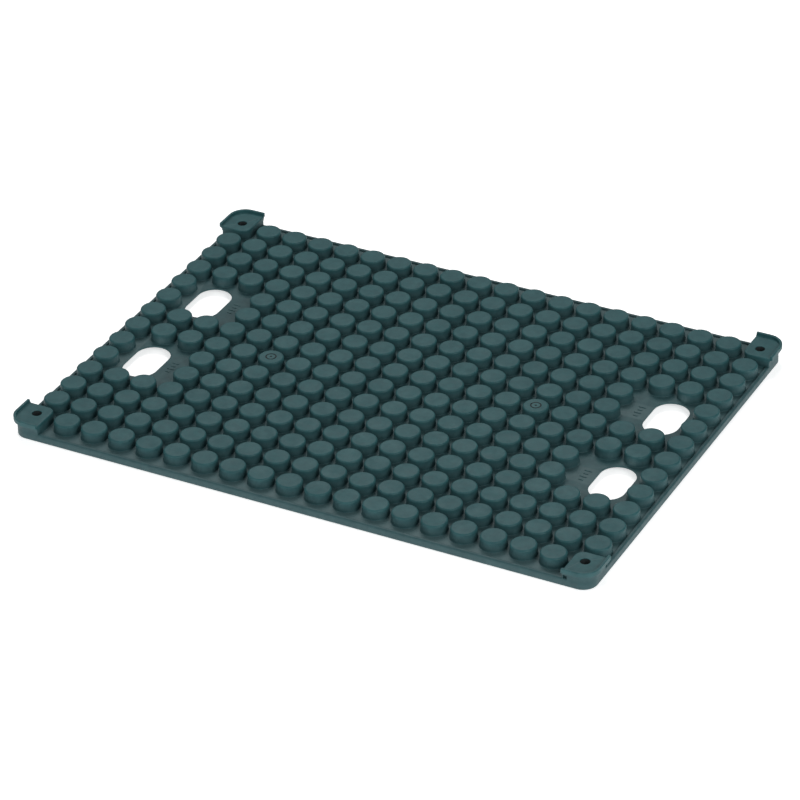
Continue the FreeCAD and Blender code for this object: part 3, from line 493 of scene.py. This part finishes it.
def add_notch_cutters(mesh, sides):
    """The two boxes that a notched corner loses under the ends of its lip."""
    high = STUD_TOP - LIP_DROP - FLARE_HEIGHT
    end_x = column_x(0) + BLOCK_REACH_X - NOTCH_INSET
    end_y = row_y(0) + BLOCK_REACH_Y - NOTCH_INSET
    boxes = ((end_x - NOTCH_WIDTH, -HALF_WIDTH - 1, end_x, -HALF_WIDTH + NOTCH_DEPTH),
             (-HALF_LENGTH - 1, end_y - NOTCH_WIDTH, -HALF_LENGTH + NOTCH_DEPTH, end_y))
    for x0, y0, x1, y1 in boxes:
        corners = to_corner([(x0, y0), (x1, y0), (x1, y1), (x0, y1)], sides)
        rings = [add_ring(mesh, corners, height) for height in (high - NOTCH_HEIGHT, high)]
        skin_all(mesh, rings)
        mesh.faces.new(rings[0])
        mesh.faces.new(rings[-1])


# %% Objects from meshes
def object_from(name, build):
    """Run a building function on an empty mesh and turn the result into an object."""
    mesh = bmesh.new()
    build(mesh)
    bmesh.ops.recalc_face_normals(mesh, faces=mesh.faces)
    data = bpy.data.meshes.new(name)
    mesh.to_mesh(data)
    mesh.free()
    made = bpy.data.objects.new(name, data)
    bpy.context.scene.collection.objects.link(made)
    return made


def cut_with(piece, cutter):
    """Take the cutter's volume out of a piece, for good."""
    cut = piece.modifiers.new("cut", "BOOLEAN")
    cut.object = cutter
    cut.operation = "DIFFERENCE"
    cut.solver = "EXACT"
    bpy.context.view_layer.update()
    done = piece.evaluated_get(bpy.context.evaluated_depsgraph_get())
    data = bpy.data.meshes.new_from_object(done)
    if not data.vertices:
        raise RuntimeError("the cut left nothing of " + piece.name)
    piece.modifiers.clear()
    piece.data = data
    bpy.data.objects.remove(cutter)


def join_meshes(name, pieces):
    """Put several pieces of one moulding into a single object."""
    mesh = bmesh.new()
    for piece in pieces:
        mesh.from_mesh(piece.data)
        bpy.data.objects.remove(piece)
    data = bpy.data.meshes.new(name)
    mesh.to_mesh(data)
    mesh.free()
    made = bpy.data.objects.new(name, data)
    bpy.context.scene.collection.objects.link(made)
    return made


# %% [markdown]
# Flat faces next to small roundings need care. Smooth shading alone would bend the
# light over the whole flat face. Marking the sharp edges and weighting the normals
# by face area keeps flats flat and lets only the roundings shade softly.

# %% Shading
SHARP_ANGLE = 38.0


def shade_like_a_moulding(piece):
    """Soft roundings, flat flats and crisp edges."""
    piece.data.shade_smooth()
    piece.data.set_sharp_from_angle(angle=math.radians(SHARP_ANGLE))
    weights = piece.modifiers.new("even_flats", "WEIGHTED_NORMAL")
    weights.keep_sharp = True
    weights.weight = 60


def make_corner(sides):
    """One corner of the plate: block, notches and lip."""
    block = object_from("corner_block", lambda mesh: add_block(mesh, sides))
    if sides in NOTCHED_CORNERS:
        cut_with(block, object_from("notch_cutter", lambda mesh: add_notch_cutters(mesh, sides)))
    return [block, object_from("corner_lip", lambda mesh: add_lip(mesh, sides))]


def make_moulding():
    """The whole studded plate as one object, as it comes out of the mould."""
    pieces = [object_from(name, build) for name, build in (
        ("floor", add_floor), ("rim", add_rim), ("studs", add_studs), ("bars", add_bars))]
    for sides in CORNER_SIDES:
        pieces += make_corner(sides)
    return join_meshes("studded_plate_moulding", pieces)


moulding = make_moulding()
shade_like_a_moulding(moulding)
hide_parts("studded_top_plate")
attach(moulding, "root")
print("faces of the moulding:", len(moulding.data.polygons))

# %% [markdown]
# ## The cover screws
# Twelve countersunk screws hold the bottom cover. Seen from below, what makes them
# read as screws is the cross in each head, so one screw is turned from its section
# and a tapered cross is cut into it, one arm after the other: a single cutter of two
# wedges would cross itself, and a boolean can then return an empty mesh. The screw is
# then copied to every boss, each copy at its own angle, because nobody lines screws
# up on an assembly line.

# %% Cover screws
SCREW_RADIUS, SCREW_LENGTH, SCREW_HEAD_RADIUS, SCREW_HEAD_HEIGHT = 1.4, 9.0, 2.8, 1.0
SCREW_HEAD_EDGE, CROSS_LENGTH, CROSS_WIDTH, CROSS_DEPTH, CROSS_TAPER = 0.12, 3.2, 0.62, 0.75, 0.55
SCREW_PLACES = ([(column, row) for column in (0, 6, 13, 19) for row in (1, 12)]
                + [(column, row) for column in (3, 16) for row in (5, 8)])


def add_screw(mesh):
    """A countersunk screw standing on its head, turned round its own axis."""
    neck, tip = SKIRT_BOTTOM + SCREW_HEAD_HEIGHT, SKIRT_BOTTOM + SCREW_LENGTH
    section = [(SCREW_HEAD_RADIUS - SCREW_HEAD_EDGE, SKIRT_BOTTOM),
               (SCREW_HEAD_RADIUS, SKIRT_BOTTOM + SCREW_HEAD_EDGE), (SCREW_RADIUS, neck),
               (SCREW_RADIUS, tip - SCREW_RADIUS), (SCREW_RADIUS * 0.3, tip)]
    rings = [add_ring(mesh, circle_outline(0, 0, radius, 32), z) for radius, z in section]
    skin_all(mesh, rings)
    mesh.faces.new(rings[0])
    mesh.faces.new(rings[-1])


def add_wedge(mesh, long_x, long_y):
    """One arm of the cross, wide at the head's face and narrow at its bottom."""
    rings = []
    for height, share in ((SKIRT_BOTTOM - CROSS_DEPTH, 1.3), (SKIRT_BOTTOM + CROSS_DEPTH, CROSS_TAPER)):
        half_x, half_y = long_x / 2 * share, long_y / 2 * share
        corners = [(-half_x, -half_y), (half_x, -half_y), (half_x, half_y), (-half_x, half_y)]
        rings.append(add_ring(mesh, corners, height))
    skin_all(mesh, rings)
    mesh.faces.new(rings[0])
    mesh.faces.new(rings[-1])


def make_screws():
    """Twelve copies of one screw, each turned by its own angle."""
    one = object_from("one_screw", add_screw)
    for long_x, long_y in ((CROSS_LENGTH, CROSS_WIDTH), (CROSS_WIDTH, CROSS_LENGTH)):
        cut_with(one, object_from("arm_cutter", lambda mesh: add_wedge(mesh, long_x, long_y)))
    print("points of one screw:", len(one.data.vertices))
    angles = random.Random(12)
    mesh = bmesh.new()
    for column, row in SCREW_PLACES:
        start = len(mesh.verts)
        mesh.from_mesh(one.data)
        mesh.verts.ensure_lookup_table()
        copied = mesh.verts[start:]
        bmesh.ops.rotate(mesh, verts=copied, cent=(0, 0, 0),
                         matrix=Matrix.Rotation(angles.uniform(0, math.pi), 3, "Z"))
        bmesh.ops.translate(mesh, verts=copied, vec=(column_x(column) * MM, row_y(row) * MM, 0))
    data = bpy.data.meshes.new("cross_head_screws")
    mesh.to_mesh(data)
    mesh.free()
    bpy.data.objects.remove(one)
    screws = bpy.data.objects.new("cross_head_screws", data)
    bpy.context.scene.collection.objects.link(screws)
    return screws


screws = make_screws()
shade_like_a_moulding(screws)
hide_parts("cover_screws")
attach(screws, "root")
print("screws:", len(SCREW_PLACES))

# %% [markdown]
# ## Finishes
# A finish is built from the same few steps each time: a noise that lives in the
# object's own space, a ramp that turns the noise into two close colours, another that
# changes how rough the surface is, and a bump for its grain. The helpers below make
# these steps, and each finish then says only what is special about it.

# %% Helpers for finishes
class Finish:
    """A material with its shader and a few steps for building a surface."""

    def __init__(self, name):
        self.material = bpy.data.materials.new(name)
        self.material.use_nodes = True
        self.nodes = self.material.node_tree.nodes
        self.links = self.material.node_tree.links
        self.shader = self.nodes["Principled BSDF"]
        self.place = self.nodes.new("ShaderNodeTexCoord").outputs["Object"]

    def noise(self, per_metre, detail=3.0, roughness=0.55, stretch=(1, 1, 1)):
        """Cloudy noise with so many blobs to the metre."""
        place = self.place
        if stretch != (1, 1, 1):
            mapping = self.nodes.new("ShaderNodeMapping")
            mapping.inputs["Scale"].default_value = stretch
            self.links.new(place, mapping.inputs["Vector"])
            place = mapping.outputs["Vector"]
        node = self.nodes.new("ShaderNodeTexNoise")
        node.inputs["Scale"].default_value = per_metre
        node.inputs["Detail"].default_value = detail
        node.inputs["Roughness"].default_value = roughness
        self.links.new(place, node.inputs["Vector"])
        return node.outputs["Fac"]

    def height(self, low, high):
        """Height in the object, stretched to 0 at one height in mm and 1 at another."""
        node = self.nodes.new("ShaderNodeSeparateXYZ")
        self.links.new(self.place, node.inputs["Vector"])
        return self.spread(node.outputs["Z"], 0.0, 1.0, low * MM, high * MM)

    def cells(self, per_metre):
        """Rounded cells, for leather grain and foam."""
        node = self.nodes.new("ShaderNodeTexVoronoi")
        node.inputs["Scale"].default_value = per_metre
        self.links.new(self.place, node.inputs["Vector"])
        return node.outputs["Distance"]

    def ramp(self, factor, stops):
        """Turn a noise into colours; a stop is a place and a colour."""
        node = self.nodes.new("ShaderNodeValToRGB")
        for number, (place, colour) in enumerate(stops):
            stop = node.color_ramp.elements[number] if number < 2 else node.color_ramp.elements.new(place)
            stop.position = place
            stop.color = (*colour, 1.0)
        self.links.new(factor, node.inputs["Fac"])
        return node.outputs["Color"]

    def spread(self, factor, low, high, from_low=0.3, from_high=0.7):
        """Stretch a noise to the range between two numbers."""
        node = self.nodes.new("ShaderNodeMapRange")
        values = (from_low, from_high, low, high)
        for socket, value in zip(("From Min", "From Max", "To Min", "To Max"), values):
            node.inputs[socket].default_value = value
        self.links.new(factor, node.inputs["Value"])
        return node.outputs["Result"]

    def blend(self, factor, first, second, way="MIX"):
        """Mix two colours by a factor."""
        node = self.nodes.new("ShaderNodeMix")
        node.data_type = "RGBA"
        node.blend_type = way
        self.set_or_link(node.inputs[0], factor)
        self.set_or_link(node.inputs[6], first)
        self.set_or_link(node.inputs[7], second)
        return node.outputs[2]

    def set_or_link(self, socket, value):
        """Give a socket a number, a colour or another node's output."""
        if isinstance(value, bpy.types.NodeSocket):
            self.links.new(value, socket)
        elif isinstance(value, tuple):
            socket.default_value = (*value, 1.0)
        else:
            socket.default_value = value

    def grain(self, height, strength, depth_mm):
        """A bump from a noise, on top of any bump made before."""
        node = self.nodes.new("ShaderNodeBump")
        node.inputs["Strength"].default_value = strength
        node.inputs["Distance"].default_value = depth_mm * MM
        self.links.new(height, node.inputs["Height"])
        before = self.shader.inputs["Normal"]
        if before.is_linked:
            self.links.new(before.links[0].from_socket, node.inputs["Normal"])
        self.links.new(node.outputs["Normal"], before)

    def put(self, **values):
        """Set the shader's sockets by name, with _ for a space."""
        for name, value in values.items():
            self.set_or_link(self.shader.inputs[name.replace("_", " ")], value)


def dress(piece, finish):
    """Give a piece one finish all over."""
    piece.data.materials.clear()
    piece.data.materials.append(finish.material)


# %% [markdown]
# ## The plate's plastic
# The plate is moulded from dark blue-green polypropylene, partly reclaimed, so its
# colour is a little cloudy. The tool surface is finely etched, which gives a dull
# sheen with soft highlights. A paler colour on the convex top edges is a painted
# highlight. The colour is also tinted by height as painted light and shade: toned-down
# tops, paler and redder stud sides and a darker floor between them. A second, near-black
# finish is painted shade in the stacking holes and in the moulding marks' grooves.

# %% Plate plastic
# Colour factors by height, painted light and shade: toned-down tops, paler and redder stud sides, a darker
# floor.
TOP_PAINTED_LIGHT, SIDE_PAINTED_LIGHT, FLOOR_PAINTED_SHADE = (0.76, 1.02, 1.03), (1.35, 1.02, 1.03), (1.05, 0.92, 0.93)
PAINTED_LIGHT_BY_HEIGHT = ((FLOOR_UNDER, SIDE_PAINTED_LIGHT), (FLOOR_TOP - 0.3, FLOOR_PAINTED_SHADE), (FLOOR_TOP + 1.2, FLOOR_PAINTED_SHADE),
                (FLOOR_TOP + 4.0, SIDE_PAINTED_LIGHT), (STUD_TOP - 0.2, TOP_PAINTED_LIGHT))
# Paler colour of the painted highlight on convex edges.
EDGE_HIGHLIGHT_COLOUR = (0.120, 0.180, 0.185)
# Depth of each stacking hole's mouth that is left without painted shade.
SHADE_FREE_MOUTH = 0.8


def plate_plastic():
    """Cloudy dark teal polypropylene with etched grain, a painted edge highlight and painted light and shade
    by height.
    """
    finish = Finish("plate_plastic")
    clouds = finish.noise(28, detail=4.0)
    base = finish.ramp(clouds, ((0.30, (0.024, 0.078, 0.085)), (0.70, (0.032, 0.092, 0.099))))
    flow = finish.noise(160, detail=5.0, roughness=0.65)
    streaks = finish.ramp(flow, ((0.35, (0.86, 0.87, 0.88)), (0.65, (1.10, 1.09, 1.08))))
    mottled = finish.blend(1.0, base, streaks, "MULTIPLY")
    # This height ramp paints light and shade into the colour: toned-down tops, paler stud sides, a darker
    # floor.
    tint = finish.ramp(finish.height(0.0, STUD_TOP),
                       [(height / STUD_TOP, colour) for height, colour in PAINTED_LIGHT_BY_HEIGHT])
    height_shaded = finish.blend(1.0, mottled, tint, "MULTIPLY")
    # Paler colour on convex edges, found by pointiness, is a painted highlight.
    geometry = finish.nodes.new("ShaderNodeNewGeometry")
    edge_highlight_mask = finish.spread(geometry.outputs["Pointiness"], 0.0, 0.30, 0.53, 0.62)
    edge_highlighted = finish.blend(edge_highlight_mask, height_shaded, EDGE_HIGHLIGHT_COLOUR)
    finish.put(Base_Color=edge_highlighted,
               Roughness=finish.spread(finish.noise(90, detail=6.0), 0.44, 0.58),
               Specular_IOR_Level=0.24)
    finish.grain(finish.noise(2600, detail=2.0), 0.35, 0.05)
    finish.grain(finish.noise(55, detail=2.0), 0.20, 0.25)
    return finish


def painted_recess_shade():
    """The plate's plastic in near-black: painted shade for the stacking holes and the moulding marks'
    grooves.
    """
    finish = Finish("painted_recess_shade")
    shade_colour = finish.ramp(finish.noise(400, detail=4.0),
                       ((0.3, (0.006, 0.011, 0.012)), (0.7, (0.011, 0.020, 0.022))))
    finish.put(Base_Color=shade_colour, Roughness=finish.spread(finish.noise(300), 0.70, 0.85))
    finish.grain(finish.noise(2600), 0.3, 0.05)
    return finish


def gets_painted_shade(face):
    """Whether a face gets the painted shade: in a stacking hole deeper than its shade-free mouth, or in a
    moulding mark's groove.
    """
    x, y, z = face.center / MM
    hole_x, hole_y = tube_centre(math.copysign(1, x), math.copysign(1, y))
    in_hole = math.hypot(x - hole_x, y - hole_y) < TUBE_RADIUS + 0.05 and z < STUD_TOP - SHADE_FREE_MOUTH
    in_mark = any(math.hypot(x - column_x(column), y - row_y(row)) < MARK_RADIUS + MARK_SOFT
                  for column, row in MARKED_STUDS) and FLOOR_TOP < z < STUD_TOP - MARK_DEPTH / 4
    return in_hole or in_mark


teal = plate_plastic()
dress(moulding, teal)
# The second material is near-black painted shade for the stacking holes and the marks' grooves.
moulding.data.materials.append(painted_recess_shade().material)
for face in moulding.data.polygons:
    face.material_index = int(gets_painted_shade(face))
print("faces with painted shade:", sum(face.material_index for face in moulding.data.polygons))

# %% [markdown]
# ## The underside
# The cover is a plainer sheet of the same family of plastic with a coarse leather
# grain, the usual way to hide scratches where a product slides over a bench. The feet
# are soft grey rubber, the seals are foam, and the screws are bright zinc.

# %% Cover, feet, seals and screws
def cover_plastic():
    """Dark sheet with leather grain and a few pale scuffs."""
    finish = Finish("cover_plastic")
    base = finish.ramp(finish.noise(40, detail=4.0),
                       ((0.3, (0.020, 0.036, 0.039)), (0.7, (0.030, 0.050, 0.053))))
    scuffs = finish.spread(finish.noise(60, detail=8.0, roughness=0.8, stretch=(0.2, 3.0, 1.0)),
                           0.0, 0.35, 0.60, 0.75)
    finish.put(Base_Color=finish.blend(scuffs, base, (0.10, 0.12, 0.12)),
               Roughness=finish.spread(finish.noise(200), 0.5, 0.7))
    finish.grain(finish.cells(900), 0.5, 0.10)
    return finish


def foot_rubber():
    """Grey rubber with a dull, dusty skin."""
    finish = Finish("foot_rubber")
    dusty = finish.ramp(finish.noise(300, detail=6.0),
                        ((0.3, (0.050, 0.051, 0.053)), (0.7, (0.075, 0.076, 0.076))))
    finish.put(Base_Color=dusty, Roughness=finish.spread(finish.noise(500), 0.75, 0.92))
    finish.grain(finish.noise(4000), 0.4, 0.05)
    return finish


def seal_foam():
    """Closed-cell foam strip."""
    finish = Finish("seal_foam")
    foam = ((0.3, (0.030, 0.031, 0.033)), (0.7, (0.055, 0.056, 0.060)))
    finish.put(Base_Color=finish.ramp(finish.noise(700), foam),
               Roughness=finish.spread(finish.noise(900), 0.85, 0.97))
    finish.grain(finish.cells(2500), 0.8, 0.15)
    return finish


def screw_steel():
    """Zinc-plated steel with a faint uneven tint."""
    finish = Finish("screw_steel")
    tint = finish.ramp(finish.noise(600, detail=4.0), ((0.3, (0.52, 0.54, 0.56)), (0.7, (0.66, 0.65, 0.60))))
    finish.put(Base_Color=tint, Roughness=finish.spread(finish.noise(1500), 0.22, 0.42), Metallic=1.0)
    finish.grain(finish.noise(5000), 0.2, 0.02)
    return finish


# %% [markdown]
# ## The pieces inside
# Nobody sees these while the plate is shut, but a reusable model is sometimes opened
# or cut away, so each gets its own finish: rolled aluminium with long fine lines, felt
# with matted fibres, silicone with a satin skin, brass, heat-shrink sleeve and the
# pale moulded cases of the two sensors.

# %% Inner finishes
def rolled_aluminium():
    """Thin aluminium sheet with rolling lines along its length."""
    finish = Finish("spreader_aluminium")
    lines = finish.noise(900, detail=4.0, stretch=(0.02, 1.0, 1.0))
    finish.put(Base_Color=finish.ramp(lines, ((0.3, (0.62, 0.63, 0.64)), (0.7, (0.78, 0.79, 0.80)))),
               Roughness=finish.spread(lines, 0.25, 0.45), Metallic=1.0)
    finish.grain(lines, 0.3, 0.02)
    return finish


def insulation_felt():
    """Matted pale fibres."""
    finish = Finish("insulation_felt")
    fibres = finish.noise(1800, detail=8.0, roughness=0.8, stretch=(1.0, 0.3, 1.0))
    finish.put(Base_Color=finish.ramp(fibres, ((0.3, (0.46, 0.45, 0.42)), (0.7, (0.66, 0.65, 0.61)))),
               Roughness=finish.spread(fibres, 0.9, 1.0))
    finish.grain(fibres, 0.9, 0.3)
    return finish


def satin_skin(name, dark, light, low=0.35, high=0.5):
    """Smooth rubbery skin in two close colours."""
    finish = Finish(name)
    finish.put(Base_Color=finish.ramp(finish.noise(250, detail=4.0), ((0.3, dark), (0.7, light))),
               Roughness=finish.spread(finish.noise(800), low, high))
    finish.grain(finish.noise(3000), 0.25, 0.03)
    return finish


def crimp_brass():
    """Dull brass."""
    finish = Finish("crimp_brass")
    brass = ((0.3, (0.62, 0.42, 0.16)), (0.7, (0.74, 0.55, 0.24)))
    finish.put(Base_Color=finish.ramp(finish.noise(900), brass),
               Roughness=finish.spread(finish.noise(1200), 0.3, 0.5), Metallic=1.0)
    finish.grain(finish.noise(4000), 0.2, 0.02)
    return finish


# %% Dress every piece of the frame
silicone = satin_skin("cable_silicone", (0.42, 0.035, 0.025), (0.55, 0.055, 0.035))
sensor_case = satin_skin("sensor_case", (0.50, 0.47, 0.40), (0.60, 0.57, 0.50), 0.4, 0.55)
sensor_plug = satin_skin("silicone_rubber", (0.40, 0.41, 0.42), (0.52, 0.53, 0.54), 0.5, 0.65)
sleeve = satin_skin("splice_sleeve", (0.012, 0.012, 0.013), (0.022, 0.022, 0.024))
grommet = satin_skin("grommet_rubber", (0.014, 0.015, 0.016), (0.028, 0.029, 0.030), 0.6, 0.8)
foam = seal_foam()
NODE_FINISHES = {
    "bottom_cover": cover_plastic(),
    "perimeter_seal": foam,
    "window_seals": foam,
    "rubber_feet": foot_rubber(),
    "heat_spreader_sheet": rolled_aluminium(),
    "insulation_sheet": insulation_felt(),
    "heating_cable": silicone,
    "control_thermostat": sensor_case,
    "safety_cutout": sensor_case,
    "sensor_plugs": sensor_plug,
    "crimp_joints": crimp_brass(),
    "supply_splices": sleeve,
    "cord_inlet_grommet": grommet,
}
zinc = screw_steel()
dress(screws, zinc)
dress(nodes["cover_screws"], zinc)
dress(nodes["studded_top_plate"], teal)
for node_name, finish in NODE_FINISHES.items():
    dress(nodes[node_name], finish)
print("finished nodes:", len(NODE_FINISHES) + 2)

# %% [markdown]
# ## The table and the light
# The plate stands on a plain pale table that glows a little, as the lit sweep of a
# product studio does, so that the background and the view through the finger cut-outs
# stay near white. One large soft box stands high behind the left end and lights the
# tops. Another stands lower at the right and gives the studs their modelled sides. A
# weak one in front and a dim sky fill the gaps between the studs.

# %% Table and lights
TABLE_SIZE = 6.0
TABLE_DROP = 0.0004
TABLE_GLOW = 0.60
SKY_STRENGTH = 0.19
BOX_WIDTH = 1.5
SOFT_BOXES = (("key_box", (-0.83, 1.44, 2.38), 38),
              ("side_box", (2.18, -1.26, 1.45), 39),
              ("front_box", (-1.30, -2.20, 1.40), 18))


def make_table():
    """A pale matt table with a hint of unevenness."""
    mesh = bmesh.new()
    corners = [mesh.verts.new((x * TABLE_SIZE, y * TABLE_SIZE, -TABLE_DROP))
               for x, y in ((-1, -1), (1, -1), (1, 1), (-1, 1))]
    mesh.faces.new(corners)
    data = bpy.data.meshes.new("table")
    mesh.to_mesh(data)
    mesh.free()
    table = bpy.data.objects.new("table", data)
    bpy.context.scene.collection.objects.link(table)
    finish = Finish("table_paint")
    paint = finish.ramp(finish.noise(3), ((0.3, (0.86, 0.86, 0.86)), (0.7, (0.88, 0.88, 0.88))))
    finish.put(Base_Color=paint, Roughness=0.8, Emission_Color=(1.0, 1.0, 1.0), Emission_Strength=TABLE_GLOW)
    dress(table, finish)
    return table


def make_soft_box(name, place, power):
    """A square soft box that faces the plate's middle."""
    data = bpy.data.lights.new(name, "AREA")
    data.shape = "SQUARE"
    data.size = BOX_WIDTH
    data.energy = power
    lamp = bpy.data.objects.new(name, data)
    bpy.context.scene.collection.objects.link(lamp)
    lamp.location = place
    lamp.rotation_euler = (-Vector(place)).to_track_quat("-Z", "Y").to_euler()


def make_sky():
    """An even pale sky."""
    world = bpy.data.worlds.new("sky")
    world.use_nodes = True
    background = world.node_tree.nodes["Background"]
    background.inputs["Color"].default_value = (0.97, 0.985, 1.0, 1.0)
    background.inputs["Strength"].default_value = SKY_STRENGTH
    bpy.context.scene.world = world


make_table()
for box_name, place, power in SOFT_BOXES:
    make_soft_box(box_name, place, power)
make_sky()
bpy.context.scene.view_settings.view_transform = "Standard"
print("soft boxes:", len(SOFT_BOXES))
